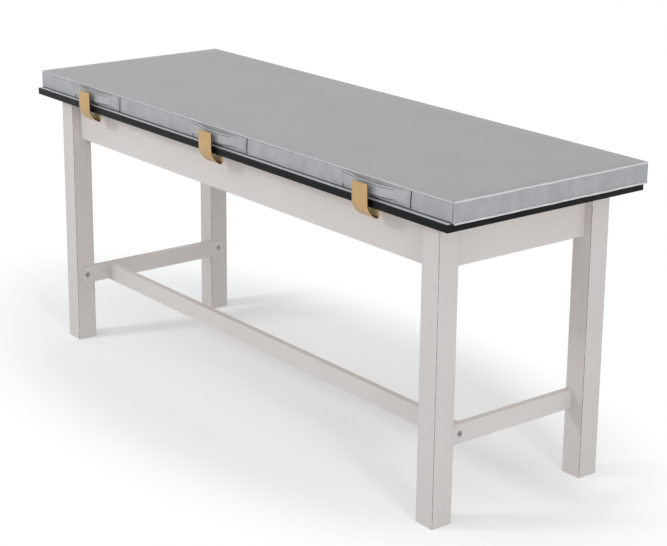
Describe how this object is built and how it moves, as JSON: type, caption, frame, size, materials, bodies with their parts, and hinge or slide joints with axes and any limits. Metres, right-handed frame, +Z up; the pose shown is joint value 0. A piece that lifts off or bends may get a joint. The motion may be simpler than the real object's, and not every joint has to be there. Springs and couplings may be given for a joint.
{
  "type": "treatment table",
  "caption": "Laminate treatment table with square legs, recessed aprons, a low brace and a loose foam pad whose side handles pass behind hooks.",
  "frame": {"origin": "on the floor under the middle of the table", "axes": "+X to the right end, +Y to the back, away from the hooks, +Z up"},
  "size_m": [1.836, 0.654, 0.8173],
  "materials": {
    "board_core": "raw particle board",
    "top_laminate": "pale grey laminate, matt",
    "edge_band": "black, satin",
    "leg_laminate": "warm grey laminate, matt",
    "raw_wood": "planed, unfinished",
    "zinc_steel": "zinc plated",
    "hook_strip": "tan coated strip, satin",
    "pad_vinyl": "grey vinyl, fine grain",
    "pad_foam": "open-cell foam",
    "handle_webbing": "grey vinyl-faced strap"
  },
  "bodies": {
    "table": {"top_core": "board_core", "top_laminate": "top_laminate", "edge_band_front": "edge_band", "apron_front": "leg_laminate", "edge_band_back": "edge_band", "apron_back": "leg_laminate", "edge_band_left": "edge_band", "apron_left": "leg_laminate", "edge_band_right": "edge_band", "apron_right": "leg_laminate", "leg_front_left": "leg_laminate", "corner_block_front_left": "raw_wood", "leg_front_right": "leg_laminate", "corner_block_front_right": "raw_wood", "cleat_front": "raw_wood", "leg_back_left": "leg_laminate", "corner_block_back_left": "raw_wood", "leg_back_right": "leg_laminate", "corner_block_back_right": "raw_wood", "cleat_back": "raw_wood", "left_end_brace": "leg_laminate", "right_end_brace": "leg_laminate", "long_brace": "leg_laminate", "apron_dowels": "raw_wood", "brace_dowels": "raw_wood", "corner_bolts": "zinc_steel", "corner_washers": "zinc_steel", "top_screws": "zinc_steel", "brace_leg_screws": "zinc_steel", "beam_screws": "zinc_steel", "hook_screws": "zinc_steel", "hook_left": "hook_strip", "hook_middle": "hook_strip", "hook_right": "hook_strip"},
    "pad": {"pad_handle_left": "handle_webbing", "pad_handle_middle": "handle_webbing", "pad_handle_right": "handle_webbing", "pad_foam": "pad_foam", "pad_bottom_panel": "pad_vinyl", "pad_side_strip": "pad_vinyl", "pad_top_panel": "pad_vinyl"}
  },
  "joints": [
    {"name": "pad_lift", "type": "slide", "parent": "table", "child": "pad", "axis": [0, 0, 1], "range_m": [0, 0.15]}
  ]
}
